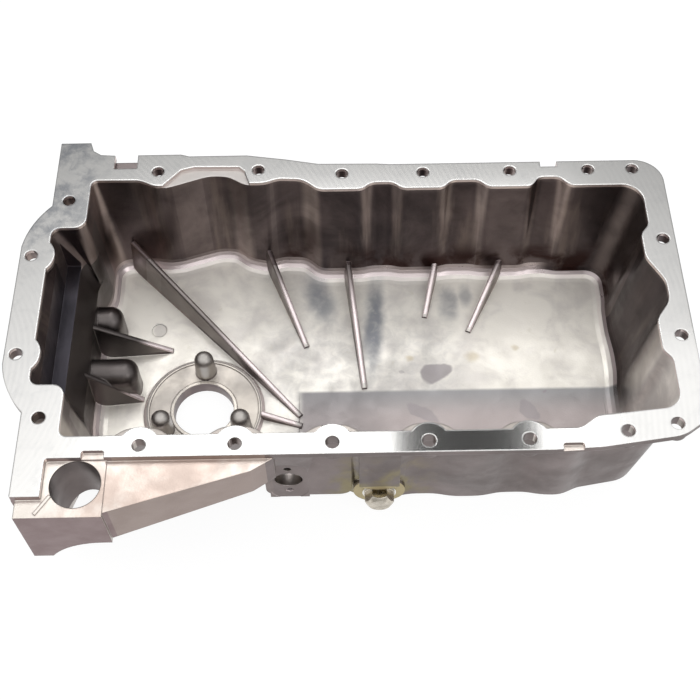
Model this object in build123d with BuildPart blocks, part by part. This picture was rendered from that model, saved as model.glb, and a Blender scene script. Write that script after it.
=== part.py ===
from build123d import *
import os
from math import atan2, cos, degrees, hypot, pi, sin, tan

os.makedirs("parts", exist_ok=True)

# Engine oil pan, cast in one piece, with its screw-in drain plug and sealing washer.
# Millimetres. X runs along the crankshaft, from the gearbox end (-X) to the timing end (+X).
# Y runs across, Z is up. The origin lies on the underside, below the middle of the gasket face.

# Overall form
pan_height = 100.0
flange_thickness = 5.0
wall = 4.5
floor_thickness = 7.0
half_length = 217.5
rail_edge = 112.0
rail_lip = 14.5

# Flange bolts: clearance holes for 8 mm screws, each with a thicker seat under the flange
bolt_hole_diameter = 8.5
bolt_seat_diameter = 15.0
bolt_seat_thickness = 4.0
rail_bolt_line = 104.3
near_bolts_x = [-127.5, -70.0, -11.5, 46.5, 107.0]
far_bolts_x = [-3.5, 52.5, 112.5, 166.5]
near_drawn_bolt = (166.5, -99.8)
near_corner_bolt_y = -95.4
corner_bolt_inset = 20.5
far_wide_bolts = [(-131.0, 108.8), (-61.5, 108.8)]
end_bolt_inset = 8.2
end_bolts_y = [-32.5, 43.6]
gearbox_bolt_inset = 27.5
gearbox_bolt_y = 84.3
bulge_bolt_inset = 7.5
bulge_bolt_y = 38.3

# Flange outline: the bulge round the crankshaft seal, the wide far part and the notches in its edge
bulge_half_width = 46.0
bulge_root_y = 80.0
bulge_waist_inset = 4.3
bulge_waist_y = 61.5
near_corner_y = -91.5
near_corner_run = 17.5
near_corner_end_y = -103.6
near_taper = (150.0, -110.6)
near_taper_end_x = 120.0
notch_depth = 4.5
notch_drop = 3.0
near_notches = [(-161.5, -147.9), (126.6, 139.1)]
far_notch = (134.0, 145.5)
ledge_span = (-162.0, -146.0)
ledge_drop = 6.0
ledge_thickness = 6.0
ledge_edge = 122.5

# Cavity: the gearbox end wall leans, the others have draft
gearbox_wall_inset = 18.5
gearbox_wall_lean = 21.0
gearbox_wall_knee = 40.0
gearbox_shoulder_inset = 41.0
gearbox_shoulder_lean = 3.5
timing_wall_inset = 16.0
timing_wall_lean = 13.0
far_wall_top = 90.6
far_wall_foot = 84.0
near_wall_top = 98.0
near_wall_foot = 92.0
near_wall_foot_by_port = 88.5
near_wall_foot_by_sender = 77.0
column_half_width = 21.0
column_crest_half_width = 9.0
column_rise_top = 8.0
column_rise_foot = 2.8
column_blend_top = 4.3
column_blend_foot = 5.5
foot_fillet = 9.0
foot_steps = 5
underside_fillet = 3.0
near_ear_radius = 12.4
bulge_ear_radius = 15.4
crease_span = (-36.0, 177.0)
crease_y = -15.0
crease_end_y = -76.0
crease_drop = 1.4
step_depth = 2.5
shelf_inset = 3.0
shelf_reach = 13.0
shelf_level = 62.0
shelf_half_width = 57.0

# Pockets of the far wall, right to left: base from and to, crest from and to, and their depth at the top
far_pockets = [
    (153.3, 126.6, 146.0, 132.0, 7.9),
    (97.0, 66.0, 90.0, 72.0, 6.4),
    (38.0, 10.0, 31.0, 17.0, 5.7),
]
pocket_depth_foot = 1.5
pocket_blend = 3.4

# Gearbox plate, and the ear and web beside it
gearbox_face_inset = 16.5
gearbox_plate_thickness = 18.0
gearbox_tab_width = 21.0
gearbox_plate_near = -137.0
gearbox_plate_far = 136.0
gearbox_plate_rise = 45.0
gearbox_plate_foot = 84.0
gearbox_plate_corner = 14.0
ear_step = 4.4
ear_inset = 2.6
ear_length = 51.9
ear_front = -148.7
ear_depth = 42.0
ear_post_width = 12.0
ear_post_depth = 61.0
ear_post_blend = 34.0
ear_bore_diameter = 30.5
ear_bore_reach = 37.0
ear_bore_y = -127.5
ear_ridge_width = 2.0
ear_ridge_height = 1.2
web_tip_x = -47.0
web_elbow = (-60.7, -120.4)
web_front = -145.9
web_wall = 5.0
web_depth_at_ear = 37.0
web_depth_at_tip = 26.0
gearbox_screw_diameter = 8.5
gearbox_screw_depth = 30.0
gearbox_boss_diameter = 22.0
gearbox_boss_height = 25.0
gearbox_bosses = [(-10.0, 31.0), (34.0, 17.0)]
gearbox_wing_screws = [(-112.0, 62.0), (112.0, 62.0)]

# Level sender opening in the floor
sender_center = (-102.3, -30.3)
sender_hole_diameter = 41.5
sender_ring_diameter = 84.5
sender_ring_height = 3.0
sender_rim_width = 2.5
sender_rim_drop = 0.8
sender_screw_circle = 62.0
sender_post_base = 15.0
sender_post_top = 13.0
sender_post_height = 23.0
sender_post_dome = 5.0
sender_screw_diameter = 5.0
sender_screw_depth = 18.0

# Return port and drain in the near wall
port_x = -41.5
port_height = 31.0
port_diameter = 18.4
port_throat_diameter = 15.4
port_throat_depth = 4.0
port_face_y = -95.5
port_flat_width = 25.0
port_screw_spacing = 30.0
port_screw_diameter = 5.0
port_screw_depth = 9.0
port_pad_span = (-57.0, 0.0)
port_pad_foot = 8.0
port_pad_corner = 9.0
port_inner_boss_diameter = 26.0
port_inner_boss_rise = 10.0
port_inner_boss_y = -80.0
drain_x = 17.6
drain_height = 20.0
drain_boss_diameter = 34.0
drain_face_y = -99.0
drain_column_width = 26.0
drain_column_y = -104.4
drain_column_bow = 2.1
drain_column_clearance = 1.5
drain_inner_boss_diameter = 24.0
drain_inner_boss_y = -82.0

# Drain plug and washer
thread_diameter = 14.0
thread_clearance = 0.05
plug_shank_length = 20.0
plug_tip_chamfer = 1.5
plug_collar_diameter = 20.5
plug_collar_thickness = 1.4
plug_hex = 16.5
plug_hex_height = 8.1
plug_hex_chamfer = 2.8
washer_diameter = 22.0
washer_thickness = 1.5
washer_clearance = 0.3

# Floor ribs: start x, y and height over the floor, then end x and y on the floor
rib_crest_width = 3.6
rib_draft = 0.09
rib_end_height = 1.8
rib_edge_radius = 1.5
ribs = [
    (-158.0, 96.0, 31.0, -35.0, -35.6),
    (-59.0, 95.0, 21.0, -31.0, 20.8),
    (-0.6, 87.0, 17.0, 9.8, -14.4),
    (64.0, 87.0, 13.0, 54.7, 44.8),
    (112.0, 87.0, 16.0, 85.6, 31.7),
    (-62.0, -35.0, 6.0, -34.0, -43.0),
]
# Gussets of the gearbox end wall: y, height at the wall and how far they reach along the floor
end_gussets = [(20.0, 38.0, 51.0), (-20.0, 42.0, 33.0)]
gusset_root = 6.0
ejector_mark_center = (-138.5, 37.9)
ejector_mark_diameter = 10.7
ejector_mark_depth = 0.5

# What follows from the sizes above
flange_top = pan_height
flange_under = flange_top - flange_thickness
floor_level = floor_thickness
cavity_depth = flange_under - floor_level
mouth_rail = rail_edge - rail_lip
gearbox_face_x = -half_length + gearbox_face_inset
gearbox_wall_top = -half_length + gearbox_wall_inset
gearbox_wall_foot = gearbox_wall_top + gearbox_wall_lean
gearbox_shoulder = -half_length + gearbox_shoulder_inset
timing_wall_top = half_length - timing_wall_inset
timing_wall_foot = timing_wall_top - timing_wall_lean
corner_bolt_x = half_length - corner_bolt_inset
end_bolt_x = half_length - end_bolt_inset
gearbox_bolt_x = -half_length + gearbox_bolt_inset
bulge_bolt_x = -half_length + bulge_bolt_inset
ear_left = gearbox_face_x + ear_inset
ear_right = ear_left + ear_length
ear_bore_center = (gearbox_face_x + ear_bore_reach, ear_bore_y)
knee_depth = (flange_under - gearbox_wall_knee) / cavity_depth
near_bolts = [(x, -rail_bolt_line) for x in near_bolts_x]
near_bay_feet = 2 * [near_wall_foot_by_sender] + [near_wall_foot_by_port] + 3 * [near_wall_foot]
bulge_bolts = [(bulge_bolt_x, -bulge_bolt_y), (bulge_bolt_x, bulge_bolt_y)]
rim_bolts = near_bolts + [near_drawn_bolt, (corner_bolt_x, near_corner_bolt_y)]
rim_bolts += [(x, rail_bolt_line) for x in far_bolts_x + [corner_bolt_x]] + far_wide_bolts
rim_bolts += [(end_bolt_x, y) for y in end_bolts_y]
rim_bolts += [(gearbox_bolt_x, -gearbox_bolt_y), (gearbox_bolt_x, gearbox_bolt_y)] + bulge_bolts


def blend(top, foot, depth):
    """A value that changes evenly from the flange's underside, depth 0, to the floor, depth 1."""
    return top + (foot - top) * depth


def near_columns(depth):
    """Corners of the near wall, left to right: it steps in at each bolt, to leave room for its head."""
    rise = blend(column_rise_top, column_rise_foot, depth)
    run = blend(column_blend_top, column_blend_foot, depth)
    bays = [-blend(near_wall_top, foot, depth) for foot in near_bay_feet]
    corners = []
    for x, before, after in zip(near_bolts_x, bays, bays[1:]):
        corners.append((x - column_half_width, before, run))
        corners.append((x - column_crest_half_width, before + rise, run))
        corners.append((x + column_crest_half_width, before + rise, run))
        corners.append((x + column_half_width, after, run))
    return corners


def far_wall(far, depth):
    """Corners of the far wall's pockets, right to left, shallower towards the floor."""
    corners = []
    for base_right, base_left, crest_right, crest_left, reach in far_pockets:
        crest = far + blend(reach, pocket_depth_foot, depth)
        corners.append((base_right, far, pocket_blend))
        corners.append((crest_right, crest, pocket_blend))
        corners.append((crest_left, crest, pocket_blend))
        corners.append((base_left, far, pocket_blend))
    return corners


def cavity_corners(depth, with_columns=True):
    """Corners of the cavity's outline, each as x, y and how far its rounding runs along its sides."""
    left = blend(gearbox_wall_top, gearbox_wall_foot, min(depth / knee_depth, 1.0))
    right = blend(timing_wall_top, timing_wall_foot, depth)
    far = blend(far_wall_top, far_wall_foot, depth)
    near = -blend(near_wall_top, near_wall_foot, depth)
    near_left = -blend(near_wall_top, near_wall_foot_by_sender, depth)
    if not with_columns:
        near = -mouth_rail
        near_left = -mouth_rail
    wave = blend(1.0, 0.15, depth)
    corner = blend(5.0, 12.0, depth)
    shoulder = gearbox_shoulder + gearbox_shoulder_lean * depth
    corners = [(shoulder, near_left, corner)]
    if with_columns:
        corners += near_columns(depth)
    corners += [
        (138.5, near, 4.0),
        (149.5, near + blend(8.3, 5.0, depth), 3.0),
        (right, -blend(84.0, 80.5, depth), blend(11.0, 13.0, depth)),
        (right, -49.5, 3.2),
        (right - 5.5 * wave, -43.0, 2.8),
        (right - 5.5 * wave, -20.0, 4.0),
        (right + 4.6 * wave, -6.0, 5.0),
        (right + 4.6 * wave, 10.0, 5.0),
        (right - 6.0 * wave, 29.0, 4.0),
        (right - 6.0 * wave, 48.0, 3.0),
        (right, 55.5, 3.2),
        (right, far, 14.0),
    ]
    corners += far_wall(far, depth)
    corners += [
        (-20.0, far, 4.5),
        (-31.0, far + blend(9.4, 10.5, depth), 5.0),
        (-48.0, far + blend(10.4, 11.5, depth), 3.6),
        (blend(-57.0, -60.0, depth), far + blend(6.7, 7.5, depth), 3.6),
        (blend(-70.0, -72.0, depth), far + blend(6.7, 11.0, depth), 4.0),
        (-83.0, far + blend(14.9, 20.0, depth), 5.0),
        (-96.0, far + blend(15.4, 20.5, depth), 5.0),
        (-124.0, far + blend(5.6, 11.5, depth), 3.0),
        (-133.0, far + blend(5.6, 10.5, depth), 3.0),
        (-143.0, far + blend(10.9, 12.0, depth), 4.0),
        (shoulder, far + blend(11.4, 11.0, depth), corner),
        (shoulder, 61.0, blend(8.0, 5.0, depth)),
        (left, blend(61.0, 48.0, depth), blend(6.0, 5.0, depth)),
        (left, -blend(61.0, 48.0, depth), blend(6.0, 5.0, depth)),
        (shoulder, -61.0, blend(8.0, 3.0, depth)),
    ]
    return corners


def outline(corners, growth=0.0):
    """A closed outline of straight lines and roundings, moved outward everywhere by the growth."""
    points = []
    radii = []
    for i, (x, y, run) in enumerate(corners):
        following = corners[(i + 1) % len(corners)]
        before = atan2(y - corners[i - 1][1], x - corners[i - 1][0])
        after = atan2(following[1] - y, following[0] - x)
        turn = (after - before + pi) % (2 * pi) - pi
        outward = before + turn / 2 - pi / 2
        shift = growth / cos(turn / 2)
        points.append((x + shift * cos(outward), y + shift * sin(outward)))
        radii.append(run / tan(abs(turn) / 2) + (growth if turn > 0 else -growth))
    return FilletPolyline(*points, radius=radii, close=True)


def foot_sections(level, radius, steps):
    """Heights and insets of the outlines that make a quarter-round foot, from the flat face to the wall."""
    angles = [0.5 * pi * step / steps for step in range(steps + 1)]
    return [(level + radius * (1 - cos(angle)), radius * (1 - sin(angle))) for angle in angles]


def floor_rib(start_x, start_y, height, end_x, end_y):
    """A straight rib that stands on the floor, slopes down from the wall, and is thicker at its root."""
    heading = atan2(end_y - start_y, end_x - start_x)
    ahead = (cos(heading), sin(heading), 0)
    aside = (-sin(heading), cos(heading), 0)
    root = 0.5 * floor_thickness
    half_crest = rib_crest_width / 2
    with BuildPart() as rib:
        for x, y, above in ((start_x, start_y, height), (end_x, end_y, rib_end_height)):
            crest = floor_level + above
            half_root = half_crest + rib_draft * (crest - root)
            with BuildSketch(Plane(origin=(x, y, 0), x_dir=aside, z_dir=ahead)):
                with BuildLine():
                    Polyline((-half_root, root), (half_root, root), (half_crest, crest), (-half_crest, crest),
                             close=True)
                make_face()
        loft(ruled=True)
        top = rib.faces().sort_by(Axis.Z)[-1]
        fillet(top.edges().sort_by(SortBy.LENGTH)[-2:], radius=rib_edge_radius)
    return rib.part


# The cavity's solid: what the walls and the floor enclose, with a quarter-round foot
upper_sections = [(gearbox_wall_knee, 0.0), (flange_under, 0.0)]
with BuildPart() as cavity:
    for level, inset in foot_sections(floor_level, foot_fillet, foot_steps) + upper_sections:
        with BuildSketch(Plane.XY.offset(level)):
            with BuildLine():
                outline(cavity_corners((flange_under - level) / cavity_depth), -inset)
            make_face()
    loft(ruled=True)

# The body's outer solid: the same outlines grown by the wall, carried on down to the underside
with BuildPart() as body:
    for level, inset in foot_sections(0.0, underside_fillet, 2) + upper_sections:
        with BuildSketch(Plane.XY.offset(level)):
            with BuildLine():
                outline(cavity_corners((flange_under - level) / cavity_depth), wall - inset)
            make_face()
    loft(ruled=True)

# Blind boss behind a gearbox screw: an arch standing on the floor, with a domed end
gearbox_screw_bosses = []
for boss_y, boss_length in gearbox_bosses:
    with BuildPart() as arch:
        with BuildSketch(Plane.YZ.offset(gearbox_wall_foot - wall)):
            with Locations((boss_y, gearbox_boss_height)):
                Circle(gearbox_boss_diameter / 2)
            with Locations((boss_y, 0.5 * floor_level)):
                Rectangle(gearbox_boss_diameter, gearbox_boss_height - 0.5 * floor_level,
                          align=(Align.CENTER, Align.MIN))
        extrude(amount=wall + boss_length)
        end = arch.faces().sort_by(Axis.X)[-1]
        fillet(end.edges().filter_by(GeomType.CIRCLE), radius=0.8 * gearbox_boss_diameter / 2)
    gearbox_screw_bosses.append(arch.part)

# Web between the ear and the rail: a hollow bracket, open below, shallower towards its tip
with BuildPart() as web:
    with BuildSketch(Plane.XY.offset(flange_under)) as web_plan:
        with BuildLine():
            Polyline((ear_right - web_wall, -rail_edge + wall), (web_tip_x, -rail_edge + wall),
                     (web_tip_x, -rail_edge), web_elbow, (ear_right, web_front),
                     (ear_right - web_wall, web_front), close=True)
        make_face()
    extrude(amount=-web_depth_at_ear)
    with BuildSketch(Plane.XY.offset(flange_under - web_wall)):
        with BuildLine():
            Polyline((ear_right + web_wall, -rail_edge + wall),
                     (web_elbow[0] - 3 * web_wall, -rail_edge + wall),
                     (web_elbow[0] - 3 * web_wall, web_elbow[1] + 0.6 * web_wall),
                     (ear_right + web_wall, web_front + 1.3 * web_wall), close=True)
        make_face()
    extrude(amount=-web_depth_at_ear, mode=Mode.SUBTRACT)
    with BuildSketch(Plane.XZ.offset(-ear_front)):
        with BuildLine():
            Polyline((ear_right - web_wall, flange_under - web_depth_at_ear),
                     (web_tip_x, flange_under - web_depth_at_tip),
                     (web_tip_x, 0), (ear_right - web_wall, 0), close=True)
        make_face()
    extrude(amount=ear_front, mode=Mode.SUBTRACT)

# Floor ribs, and what stands on the floor round the sender opening
floor_ribs = [floor_rib(*rib) for rib in ribs]
floor_ribs += [floor_rib(gearbox_wall_foot - gusset_root, y, height, gearbox_wall_foot + reach, y)
               for y, height, reach in end_gussets]
with BuildPart() as sender_seat:
    with BuildSketch(Plane.XY.offset(floor_level)):
        with Locations(sender_center):
            Circle(sender_ring_diameter / 2)
    extrude(amount=sender_ring_height, taper=30)
    with BuildSketch(Plane.XY.offset(floor_level + sender_ring_height)):
        with Locations(sender_center):
            Circle(sender_ring_diameter / 2 - sender_ring_height * tan(pi / 6) - sender_rim_width)
            Circle(sender_hole_diameter / 2 + sender_rim_width, mode=Mode.SUBTRACT)
    extrude(amount=-sender_rim_drop, mode=Mode.SUBTRACT)
    with BuildSketch(Plane.XY.offset(floor_level)):
        with Locations(sender_center):
            with PolarLocations(sender_screw_circle / 2, 3, start_angle=90):
                Circle(sender_post_base / 2)
    extrude(amount=sender_post_height,
            taper=degrees(atan2((sender_post_base - sender_post_top) / 2, sender_post_height)))
    post_tops = sender_seat.faces().filter_by(Axis.Z).group_by(Axis.Z)[-1]
    fillet(post_tops.edges(), radius=sender_post_dome)

# Inner ends of the return port and the drain: an arch standing on the floor
inner_bosses = []
for inner_x, inner_height, inner_diameter, inner_y in (
        (port_x, port_height + port_inner_boss_rise, port_inner_boss_diameter, port_inner_boss_y),
        (drain_x, drain_height, drain_inner_boss_diameter, drain_inner_boss_y)):
    with BuildPart() as inner_boss:
        with BuildSketch(Plane.XZ.offset(-inner_y)):
            with Locations((inner_x, inner_height)):
                Circle(inner_diameter / 2)
            with Locations((inner_x, floor_level - crease_drop)):
                Rectangle(inner_diameter, inner_height - floor_level + crease_drop,
                          align=(Align.CENTER, Align.MIN))
        extrude(amount=near_wall_top + inner_y - wall / 2)
    inner_bosses.append(inner_boss.part)

# Mouth through the flange, with an ear left round each bolt that stands in it
with BuildPart() as mouth:
    with BuildSketch(Plane.XY.offset(flange_under)):
        with BuildLine():
            outline(cavity_corners(0.0, with_columns=False))
        make_face()
        with Locations(*near_bolts):
            Circle(near_ear_radius, mode=Mode.SUBTRACT)
        with Locations(*bulge_bolts):
            Circle(bulge_ear_radius, mode=Mode.SUBTRACT)
    extrude(amount=flange_thickness)

# Lowered step beside the mouth, shelf in the gearbox end wall, and the tilted near band of the floor
with BuildPart() as mouth_step:
    with BuildSketch(Plane.XY.offset(flange_top)):
        with BuildLine():
            Polyline((-128.0, mouth_rail - 3.0), (-126.0, mouth_rail), (-115.0, 110.0), (-106.0, 112.5),
                     (-75.0, 112.0), (-71.0, 108.0), (-67.5, mouth_rail), (-66.0, mouth_rail - 3.0),
                     close=True)
        make_face()
    extrude(amount=-step_depth)
with BuildPart() as shelf:
    with BuildSketch(Plane.XY.offset(shelf_level)):
        with Locations((gearbox_wall_top + shelf_inset, 0)):
            Rectangle(shelf_reach - shelf_inset, 2 * shelf_half_width, align=(Align.MIN, Align.CENTER))
    extrude(amount=flange_under - shelf_level)
with BuildPart() as tilted_band:
    with BuildSketch(Plane.YZ.offset(crease_span[0])):
        with BuildLine():
            Polyline((crease_y, floor_level), (crease_end_y, floor_level - crease_drop),
                     (crease_end_y, floor_level), close=True)
        make_face()
    extrude(amount=crease_span[1] - crease_span[0])

# Every drilled, bored and tapped hole, as one solid to cut
with BuildPart() as holes:
    with BuildSketch(Plane.XY.offset(flange_top)):
        with Locations(*rim_bolts):
            Circle(bolt_hole_diameter / 2)
    extrude(amount=-flange_thickness - bolt_seat_thickness)
    with BuildSketch(Plane.XY):
        with Locations(sender_center):
            Circle(sender_hole_diameter / 2)
    extrude(amount=floor_level + sender_ring_height)
    with BuildSketch(Plane.XY):
        with Locations(sender_center):
            with PolarLocations(sender_screw_circle / 2, 3, start_angle=90):
                Circle(sender_screw_diameter / 2)
    extrude(amount=sender_screw_depth)
    with BuildSketch(Plane.XY.offset(flange_top - ear_step)):
        with Locations(ear_bore_center):
            Circle(ear_bore_diameter / 2)
    extrude(amount=-ear_post_depth)
    with BuildSketch(Plane.XZ.offset(-port_face_y)):
        with Locations((port_x, port_height)):
            SlotCenterToCenter(port_screw_spacing, port_flat_width, rotation=90)
    extrude(amount=near_wall_top + wall + port_face_y)
    with BuildSketch(Plane.XZ.offset(-port_face_y)):
        with Locations((port_x, port_height)):
            Circle(port_diameter / 2)
    extrude(amount=-(port_inner_boss_y - port_face_y - port_throat_depth))
    with BuildSketch(Plane.XZ.offset(-port_face_y)):
        with Locations((port_x, port_height)):
            Circle(port_throat_diameter / 2)
    extrude(amount=-(port_inner_boss_y - port_face_y))
    with BuildSketch(Plane.XZ.offset(-port_face_y)):
        with Locations((port_x, port_height)):
            with GridLocations(1, port_screw_spacing, 1, 2):
                Circle(port_screw_diameter / 2)
    extrude(amount=-port_screw_depth)
    with BuildSketch(Plane.XZ.offset(-drain_face_y)):
        with Locations((drain_x, drain_height)):
            Circle(thread_diameter / 2)
    extrude(amount=-(drain_inner_boss_y - drain_face_y))
    with BuildSketch(Plane.YZ.offset(gearbox_face_x)):
        with Locations(*[(boss_y, gearbox_boss_height) for boss_y, boss_length in gearbox_bosses]):
            Circle(gearbox_screw_diameter / 2)
    extrude(amount=gearbox_screw_depth)
    with BuildSketch(Plane.YZ.offset(gearbox_face_x)):
        with Locations(*gearbox_wing_screws):
            Circle(gearbox_screw_diameter / 2)
    extrude(amount=gearbox_plate_thickness)
    with BuildSketch(Plane.XY.offset(floor_level)):
        with Locations(ejector_mark_center):
            Circle(ejector_mark_diameter / 2)
    extrude(amount=-ejector_mark_depth)

with BuildPart() as pan_casting:
    # Flange plate
    with BuildSketch(Plane.XY.offset(flange_under)):
        with BuildLine():
            Polyline((gearbox_face_x, bulge_root_y), (gearbox_face_x, gearbox_plate_far),
                     (gearbox_face_x + gearbox_tab_width, gearbox_plate_far),
                     (gearbox_face_x + gearbox_tab_width + 2.5, 128.5),
                     (gearbox_face_x + gearbox_tab_width + 8.0, 124.8), (-162.0, 124.0),
                     (-116.0, 124.0), (-110.0, 122.2), (-70.0, 122.2), (-42.7, 117.9), (-20.0, 113.4),
                     (20.0, 112.8), (30.0, rail_edge))
            FilletPolyline((30.0, rail_edge), (half_length, rail_edge), (half_length, near_corner_y),
                           (half_length - near_corner_run, near_corner_end_y), near_taper,
                           (near_taper_end_x, -rail_edge),
                           (gearbox_face_x + gearbox_plate_thickness, -rail_edge),
                           (gearbox_face_x + gearbox_plate_thickness, gearbox_plate_near),
                           (gearbox_face_x, gearbox_plate_near), (gearbox_face_x, -bulge_root_y),
                           radius=[19.0, 10.0, 25.0, 40.0, 40.0, 2.0, 0.6, 0.6])
            ThreePointArc((gearbox_face_x, -bulge_root_y),
                          (-half_length + bulge_waist_inset, -bulge_waist_y),
                          (-half_length, -bulge_half_width))
            Line((-half_length, -bulge_half_width), (-half_length, bulge_half_width))
            ThreePointArc((-half_length, bulge_half_width),
                          (-half_length + bulge_waist_inset, bulge_waist_y),
                          (gearbox_face_x, bulge_root_y))
        make_face()
    extrude(amount=flange_thickness)
    with BuildSketch(Plane.XY.offset(flange_top)):
        for left, right in near_notches:
            with Locations(((left + right) / 2, -rail_edge)):
                RectangleRounded(right - left, 2 * notch_depth, notch_depth / 3)
    extrude(amount=-notch_drop, mode=Mode.SUBTRACT)
    with BuildSketch(Plane.XY.offset(flange_under)):
        with Locations((sum(far_notch) / 2, rail_edge)):
            Rectangle(far_notch[1] - far_notch[0], 2 * notch_depth)
        with Locations((sum(ledge_span) / 2, rail_edge)):
            Rectangle(ledge_span[1] - ledge_span[0], rail_edge, align=(Align.CENTER, Align.MIN))
    extrude(amount=flange_thickness, mode=Mode.SUBTRACT)
    with BuildSketch(Plane.XY.offset(flange_top - ledge_drop)):
        with Locations((sum(ledge_span) / 2, mouth_rail)):
            Rectangle(ledge_span[1] - ledge_span[0] + 2 * wall, ledge_edge - mouth_rail,
                      align=(Align.CENTER, Align.MIN))
    extrude(amount=-ledge_thickness)

    # Walls and floor, and the seats under the bolts
    add(body.part)
    with BuildSketch(Plane.XY.offset(flange_under)):
        with Locations(*rim_bolts):
            Circle(bolt_seat_diameter / 2)
    extrude(amount=-bolt_seat_thickness)

    # Gearbox plate
    with BuildSketch(Plane.YZ.offset(gearbox_face_x)):
        with BuildLine():
            FilletPolyline((gearbox_plate_near, flange_under), (gearbox_plate_near, gearbox_plate_rise),
                           (-gearbox_plate_foot, 0), (gearbox_plate_foot, 0),
                           (gearbox_plate_far, gearbox_plate_rise), (gearbox_plate_far, flange_under),
                           radius=gearbox_plate_corner)
            Line((gearbox_plate_far, flange_under), (gearbox_plate_near, flange_under))
        make_face()
    extrude(amount=gearbox_plate_thickness)

    # Ear with its corner post and its small ridge, and the web
    ear_top = flange_top - ear_step
    post_right = ear_left + ear_post_width
    post_foot = ear_top - ear_post_depth + ear_step
    ear_foot = ear_top - ear_depth + ear_step
    with BuildSketch(Plane.XZ.offset(-ear_front)):
        with BuildLine():
            Polyline((post_right + ear_post_blend, ear_foot), (ear_right, ear_foot), (ear_right, ear_top),
                     (ear_left, ear_top), (ear_left, post_foot), (post_right, post_foot))
            TangentArc((post_right + ear_post_blend, ear_foot), (post_right, post_foot), tangent=(-1, 0))
        make_face()
    extrude(amount=rail_edge - wall + ear_front)
    with BuildSketch(Plane.XY.offset(ear_top)):
        with Locations(Location((ear_left + 16.5, ear_front + 8.0), 56)):
            Rectangle(ear_ridge_width + 12.4, ear_ridge_width)
    extrude(amount=ear_ridge_height)
    add(web.part)

    # Outside of the drain, below a column from the flange, and the flat round the return port
    with BuildSketch(Plane.XZ.offset(-drain_face_y)):
        with Locations((drain_x, drain_height)):
            Circle(drain_boss_diameter / 2)
    extrude(amount=near_wall_foot + drain_face_y)
    column_left = drain_x - drain_column_width / 2
    column_right = drain_x + drain_column_width / 2
    column_foot = drain_height + washer_diameter / 2 + drain_column_clearance
    with BuildSketch(Plane.XY.offset(column_foot)):
        with BuildLine():
            ThreePointArc((column_left, drain_column_y + drain_column_bow), (drain_x, drain_column_y),
                          (column_right, drain_column_y + drain_column_bow))
            Polyline((column_right, drain_column_y + drain_column_bow), (column_right, -near_wall_foot),
                     (column_left, -near_wall_foot), (column_left, drain_column_y + drain_column_bow))
        make_face()
    extrude(amount=flange_under - column_foot)
    with BuildSketch(Plane.XZ.offset(-port_face_y)):
        with BuildLine():
            FilletPolyline((port_pad_span[0], flange_under), (port_pad_span[0], port_pad_foot),
                           (port_pad_span[1], port_pad_foot), (port_pad_span[1], flange_under),
                           radius=port_pad_corner)
            Line((port_pad_span[1], flange_under), (port_pad_span[0], flange_under))
        make_face()
    extrude(amount=near_wall_foot_by_port + port_face_y)

    # Hollow it out, put in what stands inside, and drill it
    add(cavity.part, mode=Mode.SUBTRACT)
    add([mouth.part, mouth_step.part, shelf.part, tilted_band.part], mode=Mode.SUBTRACT)
    add(floor_ribs + gearbox_screw_bosses + inner_bosses + [sender_seat.part])
    add(holes.part, mode=Mode.SUBTRACT)

# Sealing washer between the boss and the plug's collar
with BuildPart() as plug_washer:
    with BuildSketch(Plane.XZ.offset(-drain_face_y)):
        with Locations((drain_x, drain_height)):
            Circle(washer_diameter / 2)
            Circle(thread_diameter / 2 + washer_clearance, mode=Mode.SUBTRACT)
    extrude(amount=washer_thickness)

# Drain plug: hexagon head, collar and shank
collar_seat = -drain_face_y + washer_thickness
collar_front = collar_seat + plug_collar_thickness
with BuildPart() as drain_plug:
    with BuildSketch(Plane.XZ.offset(collar_front)):
        with Locations((drain_x, drain_height)):
            Circle(plug_hex / 2 / cos(pi / 6))
    extrude(amount=plug_hex_height)
    front = drain_plug.faces().sort_by(Axis.Y)[0]
    chamfer(front.edges(), length=plug_hex_chamfer)
    with BuildSketch(Plane.XZ.offset(collar_front)):
        with Locations((drain_x, drain_height)):
            RegularPolygon(plug_hex / 2, 6, major_radius=False, rotation=30)
    extrude(amount=plug_hex_height, mode=Mode.INTERSECT)
    with BuildSketch(Plane.XZ.offset(collar_seat)):
        with Locations((drain_x, drain_height)):
            Circle(plug_collar_diameter / 2)
    extrude(amount=plug_collar_thickness)
    with BuildSketch(Plane.XZ.offset(collar_seat)):
        with Locations((drain_x, drain_height)):
            Circle(thread_diameter / 2 - thread_clearance)
    extrude(amount=-plug_shank_length)
    tip = drain_plug.faces().sort_by(Axis.Y)[-1]
    chamfer(tip.edges(), length=plug_tip_chamfer)

pan_casting.part.label = "pan_casting"
plug_washer.part.label = "plug_washer"
drain_plug.part.label = "drain_plug"
export_step(pan_casting.part, "parts/pan_casting.step")
export_step(plug_washer.part, "parts/plug_washer.step")
export_step(drain_plug.part, "parts/drain_plug.step")
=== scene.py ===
from math import pi, radians
from types import SimpleNamespace

import bpy
import numpy as np
from mathutils import Matrix, Vector


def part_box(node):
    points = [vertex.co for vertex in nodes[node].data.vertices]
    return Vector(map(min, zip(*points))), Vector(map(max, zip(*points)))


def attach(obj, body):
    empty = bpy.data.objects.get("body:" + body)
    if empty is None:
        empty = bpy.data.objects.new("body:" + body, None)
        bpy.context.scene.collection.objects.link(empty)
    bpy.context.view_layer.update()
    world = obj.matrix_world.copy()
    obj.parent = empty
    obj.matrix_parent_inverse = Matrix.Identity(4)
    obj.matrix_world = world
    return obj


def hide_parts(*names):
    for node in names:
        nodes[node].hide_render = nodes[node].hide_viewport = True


# Looks of a cast engine oil pan with its drain plug and washer. Metres, in the frame's own axes:
# X along the crankshaft, Y away from the drain side, Z up from the underside.

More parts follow.
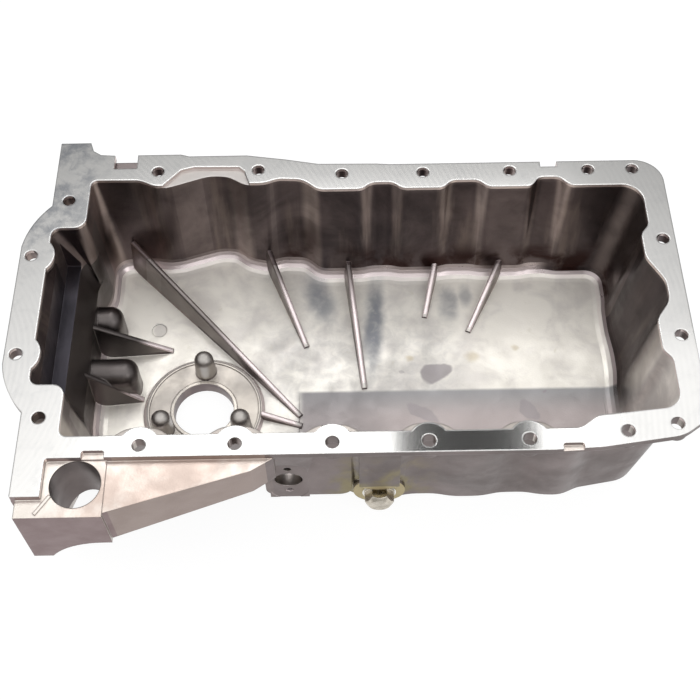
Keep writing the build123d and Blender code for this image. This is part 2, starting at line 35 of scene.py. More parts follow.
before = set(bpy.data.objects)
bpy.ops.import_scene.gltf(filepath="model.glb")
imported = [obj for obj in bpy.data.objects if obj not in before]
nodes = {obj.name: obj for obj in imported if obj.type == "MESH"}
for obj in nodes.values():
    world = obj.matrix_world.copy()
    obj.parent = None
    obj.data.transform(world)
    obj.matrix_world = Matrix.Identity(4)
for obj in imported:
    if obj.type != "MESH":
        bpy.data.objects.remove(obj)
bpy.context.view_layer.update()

washer_low, washer_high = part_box("plug_washer")
plug_low, plug_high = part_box("drain_plug")

# Places on the pan that the finishes follow. A pair is a range along one axis. A hair is how near a surface
# has to lie to a plane face, and the core is a box in the cavity where every surface counts as inside.
hair = 0.0001
flange_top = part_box("pan_casting")[1].z
mouth_edge_depth = 0.0026
core_x = (-0.176, 0.165)
core_y = (-0.074, 0.082)
core_low = 0.0065
floor_levels = (0.0092, 0.0096)
foot_levels = (0.016, 0.024)
foot_timing_x = (0.135, 0.150)
floor_gray_left_x = (-0.100, -0.045)
floor_gray_right_x = (0.055, 0.100)
floor_gray_near_y = (0.02, 0.06)
near_band_y = (-0.0175, -0.0145)
near_band_x = (-0.040, -0.032)
near_band_shade_y = (-0.040, -0.015)
near_band_dark_x = (-0.02, 0.05)
near_inner_y = (-0.084, -0.078)
near_inner_low = 0.012
timing_near_x = (0.150, 0.185)
timing_near_y = (-0.055, -0.015)
timing_far_x = (0.150, 0.180)
timing_far_y = (-0.040, 0.010)
far_wall_from_y = 0.04
foot_stain_levels = (0.022, 0.045)
foot_stain_from_y = 0.05
foot_stain_x = (-0.10, -0.02)
drain_axis = Vector((0.5 * (washer_low.x + washer_high.x), 0.0, 0.5 * (washer_low.z + washer_high.z)))
drain_face = washer_high.y
drain_ring_radius = 0.0172
drain_stain_reach = (0.018, 0.045)
drain_stain_to_y = -0.09
sender_center = Vector((-0.1023, -0.0303, 0.0))
sender_ring_radius = 0.0423
sender_rim_radii = (0.0389, 0.0400)
sender_ring_levels = (0.0088, 0.0115)
sender_post_levels = (0.0115, 0.05)
ear_bore_center = Vector((-0.164, -0.1275, 0.0))
ear_bore_radius = 0.0154
ear_bore_low = 0.035
ear_side_x = (-0.075, -0.045)
web_side_x = (-0.1435, -0.052)
web_near = -0.105
web_low = 0.02
near_end_y = (-0.125, -0.085)
gearbox_face = -0.201
gearbox_corner_x = (-0.150, -0.128)
gearbox_corner_y = (-0.06, 0.07)
gearbox_corner_top = 0.062
shelf_levels = (0.045, 0.075)
shelf_end = -0.17
ledge_y = (0.08, 0.2)
ledge_low = 0.088
ledge_edge_y = (0.112, 0.117)
tarnish_x = (-0.190, -0.150)
tarnish_y = (0.02, 0.06)

# Marks on the floor: centre, half widths, turn in degrees and strength
# The first list is painted reflection: gray-blue dark patches on the floor beside the ribs
rib_reflections = [
    ((-0.0220, 0.064), (0.011, 0.024), 15.0, 0.90),
    ((0.0180, 0.042), (0.008, 0.046), -4.0, 1.00),
    ((0.0730, 0.057), (0.008, 0.017), 0.0, 0.70),
    ((0.0850, 0.064), (0.006, 0.010), 0.0, 0.60),
    ((-0.0900, 0.005), (0.013, 0.030), 40.0, 0.25),
]
stains = [
    ((0.0608, -0.0020), (0.0115, 0.0085), 0.0, 0.85),
    ((0.0502, -0.0330), (0.0130, 0.0060), -35.0, 0.60),
    ((0.1247, -0.0340), (0.0085, 0.0055), -50.0, 0.60),
    ((0.1353, -0.0183), (0.0016, 0.0014), 0.0, 1.00),
    ((0.0380, -0.0005), (0.0022, 0.0020), 0.0, 0.40),
    ((-0.1385, 0.0379), (0.0056, 0.0056), 0.0, 0.35),
]
yellow_marks = [
    ((0.0422, 0.0108), (0.0030, 0.0030), 0.0, 0.50),
    ((0.0873, 0.0107), (0.0060, 0.0060), 0.0, 0.45),
    ((0.1187, 0.0177), (0.0030, 0.0030), 0.0, 0.45),
]

# Colours of the floor, the painted shade of its near band and the rounded foot of the walls
floor_pale, floor_worn = (0.98, 0.94, 0.86), (0.78, 0.74, 0.69)
floor_gray = (0.42, 0.41, 0.405)
floor_yellowed = (0.62, 0.57, 0.44)
band_shade_near, band_shade_far = (0.50, 0.44, 0.43), (0.35, 0.345, 0.35)
band_shade_dark = (0.17, 0.16, 0.165)
rib_reflection_gray = (0.27, 0.28, 0.305)
mark_yellow = (0.55, 0.45, 0.26)
stain_gray = (0.33, 0.30, 0.31)
foot_pale = (1.0, 0.88, 0.88)
ring_pale, ring_worn = (0.74, 0.68, 0.61), (0.50, 0.46, 0.42)
rim_dark = (0.20, 0.18, 0.17)

# Colours of the inner walls
wall_brown, wall_dark = (0.175, 0.140, 0.140), (0.075, 0.060, 0.062)
wall_streak = (0.33, 0.265, 0.235)
# Painted highlight: the paler tone of far walls that face sideways
wall_side_highlight = (0.52, 0.43, 0.40)
# The pale timing colour is a painted reflection on the near part of the timing end
timing_dark, timing_reflection_pale = (0.060, 0.050, 0.052), (0.95, 0.89, 0.84)
foot_stain = (0.045, 0.022, 0.020)
rib_gray = (0.27, 0.24, 0.23)
corner_gray = (0.150, 0.134, 0.130)
near_inner_gray = (0.50, 0.455, 0.42)
post_gray = (0.46, 0.435, 0.41)
shelf_dark = (0.070, 0.066, 0.078)
mouth_pale = (0.80, 0.69, 0.66)

# Colours of the outer skin, the web and the ledge
skin_pale, skin_dark = (0.205, 0.168, 0.163), (0.140, 0.117, 0.112)
skin_worn = (0.26, 0.22, 0.20)
ear_brown = (0.245, 0.180, 0.178)
web_side_brown = (0.33, 0.265, 0.24)
drain_olive = (0.22, 0.185, 0.10)
web_pale, web_brown = (0.96, 0.89, 0.82), (0.72, 0.59, 0.52)
ledge_pale, ledge_dark = (0.62, 0.585, 0.56), (0.34, 0.29, 0.285)

# Colours and roughness of the milled faces, and roughness of the cast ones
milled_bright, milled_gray = (0.92, 0.91, 0.89), (0.70, 0.70, 0.70)
milled_arc = (0.62, 0.62, 0.62)
tarnish_gray = (0.40, 0.42, 0.46)
mating_gray = (0.74, 0.72, 0.70)
# Painted shade: the dark colour of the ear's bore, the inside of a deep hole
bore_shade = (0.13, 0.105, 0.10)
drain_ring_olive = (0.40, 0.335, 0.19)
arc_shift = (0.31, 0.05, 0.0)
arc_scale = 85.0
flange_roughness = 0.11
foot_roughness = 0.25
cast_smoothest, cast_roughest = 0.28, 0.44

# Relief of the cast skin, as strength and height, and the rounding of its edges
cast_waves = (0.14, 0.003)
cast_grain = (0.22, 0.0004)
edge_radius = 0.0012

# How matte the worn places and the painted reflection at the timing end are: the floor from its near half to
# its far one, the timing end, the foot
matte_floor_y = (0.0, 0.055)
matte_floor_near, matte_floor_far = 0.25, 0.85
matte_timing = 0.7
matte_foot = 0.35

# Plug and washer: colour, roughness where smoothest, and colour of the darker blotches
steel_finish = ((0.62, 0.57, 0.49), 0.18, (0.42, 0.38, 0.32))
washer_finish = ((0.88, 0.88, 0.87), 0.22, (0.74, 0.74, 0.74))

# Drain plug, seen as a turned and threaded piece
plug_hex_radius = 0.00825
plug_front_radius = 0.00673
plug_cone_length = 0.0030
plug_cone_rows = 10
plug_collar_radius = 0.01025
plug_collar_thickness = 0.0014
plug_collar_edge = 0.0003
plug_thread_radius = 0.00695
plug_thread_pitch = 0.0015
plug_thread_depth = 0.00085
plug_thread_rows = 10
plug_ridge_rise = 1.3
plug_ridge_drop = 0.1
plug_neck_length = 0.0016
plug_neck_radius = 0.0060
plug_tip_chamfer = 0.0015
plug_columns = 96
sharp_angle = radians(35.0)

# Camera, solved from the photograph of 700 by 700 pixels
camera_place = Vector((0.0, -0.434, 0.731))
camera_pitch = radians(58.0)
camera_roll = radians(0.97)
camera_lens = 61.0
sensor_width = 36.0

# Light: the studio is bright overhead, dimmer all round the horizon, and dimmest behind the object.
# A pair is a range of the direction's own Z or Y.
sky_behind = 0.30
sky_round = 0.66
sky_high = 1.22
sky_rise_z = (0.67, 0.93)
sky_turn_y = (0.1, 0.5)
floor_size = 6.0
floor_white = (0.92, 0.92, 0.92, 1.0)
floor_glow = 1.07
floor_glow_share = 0.86
card_place = (0.19, 0.48, 1.2)
card_size = (0.25, 0.30)
card_black = (0.01, 0.01, 0.01, 1.0)
white = (1.0, 1.0, 1.0, 1.0)

# Lamps: name, place, target, width and depth, and watts
lamps = [
    ("key_lamp", (0.0, 0.85, 1.6), (0.0, 0.85, 0.0), (1.0, 0.9), 3.6),
    ("fill_lamp", (0.9, -0.9, 1.1), (0.0, 0.0, 0.05), (0.8, 0.8), 2.0),
]


def add_object(name, data):
    made = bpy.data.objects.new(name, data)
    bpy.context.scene.collection.objects.link(made)
    return made


def make_camera():
    """The photograph's camera: above the near rail, looking down at the mouth."""
    data = bpy.data.cameras.new("photo_camera")
    data.lens = camera_lens
    data.sensor_width = sensor_width
    data.clip_start = 0.01
    data.clip_end = 50.0
    camera = add_object("photo_camera", data)
    turn = Matrix.Rotation(pi / 2 - camera_pitch, 4, "X") @ Matrix.Rotation(-camera_roll, 4, "Z")
    camera.matrix_world = Matrix.Translation(camera_place) @ turn
    bpy.context.scene.camera = camera


class Graph:
    """The node tree of a material or a world, with short calls that make a node and link its inputs."""

    def __init__(self, owner):
        self.owner = owner
        owner.use_nodes = True
        self.tree = owner.node_tree
        self.tree.nodes.clear()

    def node(self, kind, inputs=None, **settings):
        made = self.tree.nodes.new(kind)
        for key, value in settings.items():
            setattr(made, key, value)
        for key, value in (inputs or {}).items():
            if isinstance(value, bpy.types.NodeSocket):
                self.tree.links.new(value, made.inputs[key])
            else:
                made.inputs[key].default_value = value
        return made

    def math(self, operation, a, b=0.0):
        return self.node("ShaderNodeMath", {0: a, 1: b}, operation=operation).outputs[0]

    def vector(self, operation, *inputs):
        return self.node("ShaderNodeVectorMath", dict(enumerate(inputs)), operation=operation).outputs

    def axes(self, vector):
        return self.node("ShaderNodeSeparateXYZ", {0: vector}).outputs

    def ramp(self, value, low, high, start=0.0, end=1.0, smooth=True):
        """A value that goes from start to end while the input goes from low to high."""
        kind = "SMOOTHSTEP" if smooth else "LINEAR"
        return self.node("ShaderNodeMapRange", {"Value": value, "From Min": low, "From Max": high,
                                                "To Min": start, "To Max": end},
                         interpolation_type=kind).outputs[0]

    def fall(self, value, low, high):
        """A mask that goes from 1 to 0 while the input goes from low to high."""
        return self.ramp(value, low, high, 1.0, 0.0)

    def above(self, value, limit):
        return self.math("GREATER_THAN", value, limit)

    def below(self, value, limit):
        return self.math("LESS_THAN", value, limit)

    def between(self, value, low, high):
        return self.both(self.above(value, low), self.below(value, high))

    def both(self, *masks):
        """A mask that holds where all the masks hold."""
        product = masks[0]
        for mask in masks[1:]:
            product = self.math("MULTIPLY", product, mask)
        return product

    def either(self, *masks):
        """A mask that holds where any of the masks holds."""
        largest = masks[0]
        for mask in masks[1:]:
            largest = self.math("MAXIMUM", largest, mask)
        return largest

    def reverse(self, mask):
        return self.math("SUBTRACT", 1.0, mask)

    def blend(self, factor, a, b):
        """A number between a and b. The number sockets of a mix node are 2 and 3."""
        return self.node("ShaderNodeMix", {0: factor, 2: a, 3: b}).outputs[0]

    def mix(self, factor, a, b):
        """A colour between a and b. The colour sockets of a mix node are 6 and 7, and 2 as output."""
        a, b = (side if isinstance(side, bpy.types.NodeSocket) else (*side, 1.0) for side in (a, b))
        return self.node("ShaderNodeMix", {0: factor, 6: a, 7: b}, data_type="RGBA").outputs[2]

    def noise(self, place, scale, detail=3.0, roughness=0.55, distortion=0.0):
        return self.node("ShaderNodeTexNoise", {"Vector": place, "Scale": scale, "Detail": detail,
                                                "Roughness": roughness, "Distortion": distortion}).outputs[0]

    def stretch(self, place, scale, shift=(0.0, 0.0, 0.0)):
        return self.node("ShaderNodeMapping", {"Vector": place, "Location": shift, "Scale": scale}).outputs[0]

    def ragged(self, place, scale, reach):
        """The place, moved a little to and fro, so that what is drawn there gets a ragged edge."""
        color = self.node("ShaderNodeTexNoise", {"Vector": place, "Scale": scale, "Detail": 3.0}).outputs[1]
        centered = self.vector("SUBTRACT", color, (0.5, 0.5, 0.5))[0]
        return self.vector("ADD", place, self.vector("MULTIPLY", centered, (reach, reach, 0.0))[0])[0]

    def marks(self, place, entries, inner, outer):
        """A mask of soft ovals: centre, half widths, turn in degrees and strength of each. An oval fades
        between the shares inner and outer of its half widths."""
        ovals = []
        for center, half_widths, turn, strength in entries:
            local = self.node("ShaderNodeMapping", {
                "Vector": place, "Location": (*center, 0.0), "Rotation": (0.0, 0.0, radians(turn)),
                "Scale": (*half_widths, 1.0)}, vector_type="TEXTURE").outputs[0]
            distance = self.vector("LENGTH", local)["Value"]
            ovals.append(self.ramp(distance, inner, outer, strength, 0.0))
        return self.either(*ovals)

    def length(self, place, center, plane=(1.0, 1.0, 0.0)):
        """Distance from a centre, measured in the plane given."""
        moved = self.vector("SUBTRACT", place, center)[0]
        return self.vector("LENGTH", self.vector("MULTIPLY", moved, plane)[0])["Value"]

    def bump(self, height, strength, distance, below=None):
        inputs = {"Height": height, "Strength": strength, "Distance": distance}
        if below is not None:
            inputs["Normal"] = below
        return self.node("ShaderNodeBump", inputs).outputs[0]

    def finish(self, color, roughness, normal, metallic=1.0):
        shader = self.node("ShaderNodeBsdfPrincipled", {"Base Color": color, "Roughness": roughness,
                                                        "Normal": normal, "Metallic": metallic})
        self.node("ShaderNodeOutputMaterial", {"Surface": shader.outputs[0]})
        return self.owner


def pan_places(g):
    """What the pan's finishes follow: the place, the patterns, and a mask for where each finish lies."""
    m = SimpleNamespace()
    where = g.node("ShaderNodeTexCoord").outputs
    m.place, facing = where["Object"], where["Normal"]
    m.x, m.y, m.z = g.axes(m.place)
    m.sideways, _, up = g.axes(facing)

    # Patterns
    m.blotch = g.noise(m.place, 14.0, 5.0, 0.6, 0.6)
    m.cloud = g.noise(m.place, 38.0, 4.0, 0.55, 0.4)
    m.fine_cloud = g.noise(m.place, 110.0, 4.0, 0.6, 0.5)
    m.torn = g.ragged(m.place, 90.0, 0.007)

    # Milled faces: the flange, the gearbox face, the drain's spot face and the ear's bore
    m.top = g.ramp(m.z, flange_top - 3 * hair, flange_top - hair, smooth=False)
    m.mating = g.both(g.between(m.x, gearbox_face - 3 * hair, gearbox_face + 3 * hair),
                      g.below(m.sideways, -0.95))
    m.drain_ring = g.both(g.below(m.y, drain_face + 2 * hair),
                          g.below(g.length(m.place, drain_axis, (1.0, 0.0, 1.0)), drain_ring_radius))
    m.ear_bore = g.both(g.below(g.length(m.place, ear_bore_center), ear_bore_radius),
                        g.above(m.z, ear_bore_low))

    # Outside are the walls that face away from the pan's middle, and what faces down, but nothing in the core
    outward = g.vector("DOT_PRODUCT", m.place, facing)["Value"]
    m.core = g.both(g.above(m.z, core_low), g.between(m.x, *core_x), g.between(m.y, *core_y))
    outer_wall = g.both(g.ramp(outward, 0.0, 0.02), g.fall(up, 0.3, 0.6))
    m.outside = g.both(g.either(outer_wall, g.fall(up, -0.5, -0.3)), g.reverse(m.core))
    inside = g.reverse(m.outside)

    # The cavity
    level = g.ramp(up, 0.75, 0.97)
    m.floor = g.both(level, g.fall(m.z, *floor_levels), inside)
    m.foot = g.both(g.ramp(up, 0.10, 0.40), g.fall(m.z, *foot_levels), inside,
                    g.either(g.fall(m.x, *foot_timing_x), g.ramp(up, 0.55, 0.90)))
    m.sender_distance = g.length(m.place, sender_center)
    by_sender = g.below(m.sender_distance, sender_ring_radius)
    m.ring = g.both(level, by_sender, g.between(m.z, *sender_ring_levels))
    m.post = g.both(by_sender, g.between(m.z, *sender_post_levels))
    m.shelf = g.both(level, g.between(m.z, *shelf_levels), g.below(m.x, shelf_end))
    m.gearbox_corner = g.both(g.fall(m.x, *gearbox_corner_x), g.between(m.y, *gearbox_corner_y),
                              g.below(m.z, gearbox_corner_top))
    m.mouth_edge = g.both(g.between(m.z, flange_top - mouth_edge_depth, flange_top - 3 * hair), inside)
    m.timing_near = g.both(g.ramp(m.x, *timing_near_x), g.fall(m.y, *timing_near_y), inside)
    m.near_inner = g.both(g.fall(m.y, *near_inner_y), g.above(m.z, near_inner_low), inside)
    m.near_band = g.both(g.fall(m.y, *near_band_y), g.ramp(m.x, *near_band_x))

    # The outer ledges
    m.near_end = g.fall(m.y, *near_end_y)
    m.web_top = g.both(g.ramp(up, 0.6, 0.9), g.below(m.y, web_near), g.above(m.z, web_low))
    m.ledge = g.both(level, g.between(m.y, *ledge_y), g.above(m.z, ledge_low))
    return m


def band_shade_paint(g, m):
    """Painted shade: the gray band along the near side of the floor, where the floor slopes and reflects
    darker, darker still at its left end.
    """
    color = g.mix(g.ramp(m.y, *near_band_shade_y), band_shade_near, band_shade_far)
    return g.mix(g.ramp(m.x, *near_band_dark_x, 0.6, 0.0), color, band_shade_dark)


def floor_paint(g, m, band_shade_color):
    """The floor: pale and worn, grayer in the middle, with painted dark reflections beside the ribs and the
    near band's painted shade.
    """
    color = g.mix(g.ramp(m.cloud, 0.40, 0.68), floor_pale, floor_worn)
    middle = g.both(g.ramp(m.x, *floor_gray_left_x), g.fall(m.x, *floor_gray_right_x))
    gray = g.both(middle, g.ramp(m.fine_cloud, 0.25, 0.75, 0.20, 0.60),
                  g.ramp(m.y, *floor_gray_near_y, 1.0, 0.45))
    color = g.mix(gray, color, floor_gray)
    color = g.mix(g.ramp(m.fine_cloud, 0.62, 0.80, 0.0, 0.35), color, floor_yellowed)
    color = g.mix(m.near_band, color, band_shade_color)
    # Painted reflections: gray-blue dark patches beside the ribs, where the ribs reflect in the floor
    rib_reflection = g.both(g.marks(m.torn, rib_reflections, 0.3, 1.3), g.ramp(m.fine_cloud, 0.25, 0.6, 0.70, 1.0))
    color = g.mix(rib_reflection, color, rib_reflection_gray)
    color = g.mix(g.marks(m.torn, yellow_marks, 0.2, 1.2), color, mark_yellow)
    spilt = g.ragged(m.place, 55.0, 0.014)
    return g.mix(g.marks(spilt, stains, 0.80, 1.05), color, stain_gray)


def wall_paint(g, m):
    """The inner walls: dark brown skin, streaked downwards and stained near the foot, with painted highlights
    on far walls that face sideways and a painted reflection on the near part of the timing end.
    """
    color = g.mix(g.ramp(m.blotch, 0.35, 0.70), wall_brown, wall_dark)
    streak = g.noise(g.stretch(m.place, (1.0, 1.0, 0.10)), 60.0, 4.0, 0.6)
    color = g.mix(g.ramp(streak, 0.52, 0.74, 0.0, 0.55), color, wall_streak)
    # Painted highlight: far walls that face sideways, such as the flanks of the waves, are painted paler
    # where they reflect brighter
    turned = g.both(g.ramp(g.math("ABSOLUTE", m.sideways), 0.18, 0.60, 0.0, 0.90),
                    g.ramp(m.blotch, 0.3, 0.6, 1.0, 0.45), g.above(m.y, far_wall_from_y))
    color = g.mix(turned, color, wall_side_highlight)
    timing_far = g.both(g.ramp(m.x, *timing_far_x), g.ramp(m.y, *timing_far_y),
                        g.ramp(m.blotch, 0.3, 0.6, 0.85, 0.45))
    color = g.mix(timing_far, color, timing_dark)
    low_stain = g.both(g.fall(m.z, *foot_stain_levels), g.above(m.y, foot_stain_from_y),
                       g.ramp(m.x, *foot_stain_x), g.ramp(m.cloud, 0.42, 0.62))
    color = g.mix(low_stain, color, foot_stain)
    # Painted reflection: the near part of the timing end is painted pale where it reflects the bright studio
    color = g.mix(g.both(m.timing_near, g.ramp(m.cloud, 0.3, 0.6, 1.0, 0.65)), color, timing_reflection_pale)
    color = g.mix(g.both(m.core, g.above(m.z, floor_levels[1])), color, rib_gray)
    for mask, tone in ((m.gearbox_corner, corner_gray), (m.near_inner, near_inner_gray), (m.post, post_gray),
                       (m.shelf, shelf_dark), (m.mouth_edge, mouth_pale)):
        color = g.mix(mask, color, tone)
    return color


def skin_paint(g, m):
    """The outer skin: gray mauve, browner at the ear, with olive stains by the drain."""
    color = g.mix(g.ramp(m.blotch, 0.35, 0.70), skin_pale, skin_dark)
    color = g.mix(g.ramp(m.fine_cloud, 0.60, 0.80, 0.0, 0.4), color, skin_worn)
    color = g.mix(g.both(m.near_end, g.fall(m.x, *ear_side_x)), color, ear_brown)
    color = g.mix(g.both(m.near_end, g.between(m.x, *web_side_x)), color, web_side_brown)
    by_drain = g.fall(g.length(m.place, drain_axis, (1.0, 0.0, 0.7)), *drain_stain_reach)
    stained = g.both(by_drain, g.ramp(m.cloud, 0.40, 0.62), g.below(m.y, drain_stain_to_y))
    return g.mix(stained, color, drain_olive)


def flange_paint(g, m):
    """The milled flange: bright, tarnished at the far left, with faint arcs left by the cutter."""
    color = g.mix(g.ramp(m.fine_cloud, 0.45, 0.75, 0.0, 0.25), milled_bright, milled_gray)
    tarnish = g.both(g.fall(m.x, *tarnish_x), g.ramp(m.y, *tarnish_y),
                     g.ramp(g.noise(m.torn, 55.0, 5.0, 0.7), 0.40, 0.66, 0.0, 0.8))
    color = g.mix(tarnish, color, tarnish_gray)
    arcs = g.node("ShaderNodeTexWave", {"Vector": g.stretch(m.place, (1.0, 1.0, 0.0), arc_shift),
                                        "Scale": arc_scale, "Distortion": 0.6, "Detail": 1.0},
                  wave_type="RINGS", rings_direction="Z").outputs[1]
    return g.mix(g.both(arcs, g.ramp(m.blotch, 0.40, 0.60, 0.05, 0.20)), color, milled_arc)


def pan_metal():
    """Cast aluminium with milled faces: each finish follows from the place and the surface's direction."""
    g = Graph(bpy.data.materials.new("pan_metal"))
    m = pan_places(g)

    # Painted shade of the near band, laid on the floor and on the foot below it
    band_shade_color = band_shade_paint(g, m)
    color = g.mix(m.outside, wall_paint(g, m), skin_paint(g, m))
    color = g.mix(m.foot, color, g.mix(m.near_band, foot_pale, band_shade_color))
    color = g.mix(m.floor, color, floor_paint(g, m, band_shade_color))
    ring_color = g.mix(g.ramp(m.cloud, 0.38, 0.66), ring_pale, ring_worn)
    rim = g.between(m.sender_distance, *sender_rim_radii)
    color = g.mix(m.ring, color, g.mix(rim, ring_color, rim_dark))
    color = g.mix(m.web_top, color, g.mix(g.ramp(m.blotch, 0.42, 0.66), web_pale, web_brown))
    color = g.mix(m.ledge, color, g.mix(g.ramp(m.y, *ledge_edge_y), ledge_pale, ledge_dark))
    # The ear's bore gets painted shade, dark like the inside of a deep hole
    for mask, tone in ((m.mating, mating_gray), (m.top, flange_paint(g, m)), (m.ear_bore, bore_shade),
                       (m.drain_ring, drain_ring_olive)):
        color = g.mix(mask, color, tone)

    cast_roughness = g.ramp(g.noise(m.place, 60.0, 4.0), 0.3, 0.7, cast_smoothest, cast_roughest)
    bare_foot = g.both(m.foot, g.reverse(m.floor))
    roughness = g.blend(m.top, g.blend(bare_foot, cast_roughness, foot_roughness), flange_roughness)

    # The cast skin is uneven, and every edge is a little rounded
    as_cast = g.reverse(g.either(m.top, m.mating, m.drain_ring, m.ear_bore))
    edge = g.node("ShaderNodeBevel", {"Radius": edge_radius}, samples=6).outputs[0]
    normal = g.bump(g.both(g.noise(m.place, 45.0, 2.0), as_cast), *cast_waves, edge)
    normal = g.bump(g.both(g.noise(m.place, 900.0, 3.0, 0.6), as_cast), *cast_grain, normal)

    # Worn places, and the timing end's painted reflection, look whiter than bare metal does, so they are
    # partly matte
    floor_share = g.ramp(m.y, *matte_floor_y, matte_floor_near, matte_floor_far)
    matte = g.either(g.both(g.either(m.ring, m.floor), floor_share), g.both(m.timing_near, matte_timing),
                     g.both(m.foot, matte_foot))
    return g.finish(color, roughness, normal, g.reverse(matte))


def plain_metal(name, color, roughness, darker):
    """A bare turned metal with faint blotches and fine grain."""
    g = Graph(bpy.data.materials.new(name))
    place = g.node("ShaderNodeTexCoord").outputs["Object"]
    shade = g.mix(g.ramp(g.noise(place, 260.0, 4.0, 0.6), 0.35, 0.7), color, darker)
    rough = g.ramp(g.noise(place, 900.0), 0.3, 0.7, roughness, roughness + 0.12)
    return g.finish(shade, rough, g.bump(g.noise(place, 2500.0), 0.15, 0.0001))


def dress(node, material):
    mesh = nodes[node].data
    mesh.materials.clear()
    mesh.materials.append(material)


def level_sheet(name, center, size, material):
    """A level rectangle of the width and depth given."""
    x, y, z = center
    half_x, half_y = size[0] / 2, size[1] / 2
    corners = [(x - half_x, y - half_y, z), (x + half_x, y - half_y, z),
               (x + half_x, y + half_y, z), (x - half_x, y + half_y, z)]
    mesh = bpy.data.meshes.new(name)
    mesh.from_pydata(corners, [], [(0, 1, 2, 3)])
    mesh.materials.append(material)
    return add_object(name, mesh)


def make_floor():
    """A pale floor that stays white to the camera and keeps the object's soft shadow."""
    g = Graph(bpy.data.materials.new("stage_white"))
    path = g.node("ShaderNodeLightPath").outputs
    seen = g.either(path["Is Camera Ray"], path["Is Glossy Ray"], path["Is Transmission Ray"])
    matte = g.node("ShaderNodeBsdfDiffuse", {"Color": floor_white}).outputs[0]
    glow = g.node("ShaderNodeEmission", {"Color": white, "Strength": floor_glow}).outputs[0]
    share = g.both(seen, floor_glow_share)
    mixed = g.node("ShaderNodeMixShader", {0: share, 1: matte, 2: glow}).outputs[0]
    g.node("ShaderNodeOutputMaterial", {"Surface": mixed})
    floor = level_sheet("stage_floor", (0.0, 0.0, 0.0), (floor_size, floor_size), g.owner)


def make_card():
    """A black card over the near rail, which only the metal reflects, as a photographer hangs one."""
    g = Graph(bpy.data.materials.new("stage_black"))
    black = g.node("ShaderNodeBsdfDiffuse", {"Color": card_black}).outputs[0]
    g.node("ShaderNodeOutputMaterial", {"Surface": black})
    card = level_sheet("stage_card", card_place, card_size, g.owner)
    card.visible_camera = False
    card.visible_diffuse = False


def make_sky():
    """The studio round the object: white to the camera and to matte surfaces. Bare metal reflects it dim at
    the horizon and bright overhead."""
    g = Graph(bpy.data.worlds.new("studio"))
    path = g.node("ShaderNodeLightPath").outputs
    seen = g.either(path["Is Camera Ray"], path["Is Transmission Ray"], path["Is Diffuse Ray"])
    _, y, z = g.axes(g.node("ShaderNodeTexCoord").outputs["Generated"])
    horizon = g.ramp(y, *sky_turn_y, sky_round, sky_behind)
    reflected = g.ramp(z, *sky_rise_z, horizon, sky_high)
    strength = g.ramp(seen, 0.0, 1.0, reflected, 1.0, smooth=False)
    background = g.node("ShaderNodeBackground", {"Color": white, "Strength": strength}).outputs[0]
    g.node("ShaderNodeOutputWorld", {"Surface": background})
    bpy.context.scene.world = g.owner


def make_lamp(name, place, target, size, power):
    """An area lamp of the width and depth given, which faces its target and doesn't show in the picture."""
    data = bpy.data.lights.new(name, "AREA")
    data.shape = "RECTANGLE"
    data.size, data.size_y = size
    data.energy = power
    lamp = add_object(name, data)
    lamp.location = place
    lamp.rotation_euler = (Vector(target) - Vector(place)).to_track_quat("-Z", "Y").to_euler()
    lamp.visible_camera = False


def closed_turning(name, axis, stations, radii):
    """A closed body round a line along Y: row i of the radii gives the distance from that line, column by
    column round the turn, at station i. Its first and last rows end in a pole."""
    rows, columns = radii.shape
    turn = np.linspace(0.0, 2.0 * np.pi, columns, endpoint=False)
    ring = np.stack([axis.x + radii * np.cos(turn), np.repeat(stations[:, None], columns, axis=1),
                     axis.z + radii * np.sin(turn)], axis=-1).reshape(-1, 3)
    poles = np.array([[axis.x, stations[0], axis.z], [axis.x, stations[-1], axis.z]])
    points = np.concatenate([ring, poles])
    grid = np.arange(rows * columns).reshape(rows, columns)
    after = np.roll(grid, -1, axis=1)
    quads = np.stack([grid[:-1], grid[1:], after[1:], after[:-1]], axis=-1).reshape(-1, 4)
    front = np.stack([np.full(columns, rows * columns), grid[0], after[0]], axis=-1)
    back = np.stack([np.full(columns, rows * columns + 1), after[-1], grid[-1]], axis=-1)
    mesh = bpy.data.meshes.new(name)
    mesh.from_pydata(points.tolist(), [], quads.tolist() + front.tolist() + back.tolist())
    mesh.polygons.foreach_set("use_smooth", np.ones(len(mesh.polygons), dtype=bool))
    mesh.set_sharp_from_angle(angle=sharp_angle)
    return add_object(name, mesh)


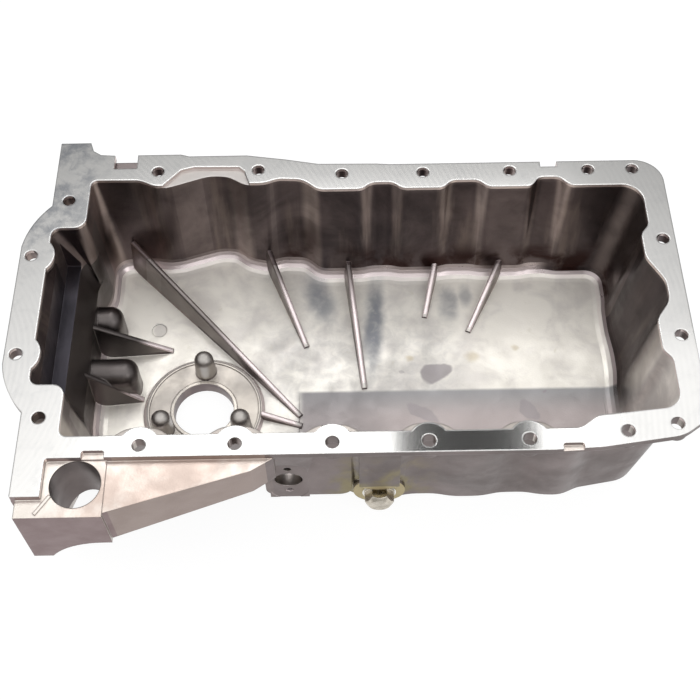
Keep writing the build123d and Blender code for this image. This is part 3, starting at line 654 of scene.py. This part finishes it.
def threaded_plug():
    """The drain plug from its front to its tip. The hexagon's radius is its half width over the cosine of the
    angle from the nearest flat's middle, cut by a cone at the front. Then come the collar, the neck and the
    thread, a ridge whose height follows the distance along the axis less one pitch for each turn, and the
    tip's cone."""
    turn = np.linspace(0.0, 2.0 * np.pi, plug_columns, endpoint=False)
    from_flat = np.mod(turn, np.pi / 3) - np.pi / 6
    hexagon = plug_hex_radius / np.cos(from_flat)
    seat = washer_low.y
    front = plug_low.y
    tip = plug_high.y
    collar_front = seat - plug_collar_thickness

    cone_y = np.linspace(front, front + plug_cone_length, plug_cone_rows)
    cone = np.minimum(hexagon[None, :], (plug_front_radius + cone_y - front)[:, None])
    side = np.repeat(hexagon[None, :], 2, axis=0)
    side_y = np.array([0.5 * (front + collar_front), collar_front])

    collar = np.array([(collar_front, plug_hex_radius / np.cos(np.pi / 6)),
                       (collar_front, plug_collar_radius - plug_collar_edge),
                       (collar_front + plug_collar_edge, plug_collar_radius),
                       (seat - plug_collar_edge, plug_collar_radius),
                       (seat, plug_collar_radius - plug_collar_edge),
                       (seat, plug_neck_radius)])

    neck_end = seat + plug_neck_length
    thread_y = np.arange(neck_end, tip, plug_thread_pitch / plug_thread_rows)
    phase = np.mod(thread_y[:, None] / plug_thread_pitch - turn[None, :] / (2.0 * np.pi), 1.0)
    ridge = np.clip(plug_ridge_rise * (1.0 - np.abs(2.0 * phase - 1.0)) - plug_ridge_drop, 0.0, 1.0)
    crest = np.minimum(plug_thread_radius, plug_thread_radius + tip - plug_tip_chamfer - thread_y)[:, None]
    root = plug_thread_radius - plug_thread_depth
    rise = np.clip((thread_y - neck_end) / plug_thread_pitch, 0.0, 1.0)[:, None]
    lead = plug_neck_radius + (root - plug_neck_radius) * rise
    thread = np.minimum(crest, lead + plug_thread_depth * ridge * rise)

    collar_rows = np.repeat(collar[:, 1:], plug_columns, axis=1)
    end_row = np.full((1, plug_columns), thread[-1].min())
    stations = np.concatenate([cone_y, side_y, collar[:, 0], thread_y, [tip]])
    radii = np.concatenate([cone, side, collar_rows, thread, end_row])
    plug = closed_turning("threaded_plug", drain_axis, stations, radii)
    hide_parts("drain_plug")
    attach(plug, "plug")
    return plug


make_camera()
make_floor()
make_sky()
for lamp in lamps:
    make_lamp(*lamp)
make_card()

dress("pan_casting", pan_metal())
plug = threaded_plug()
plug.data.materials.append(plain_metal("plug_steel", *steel_finish))
dress("plug_washer", plain_metal("washer_silver", *washer_finish))

bpy.context.scene.view_settings.view_transform = "Standard"
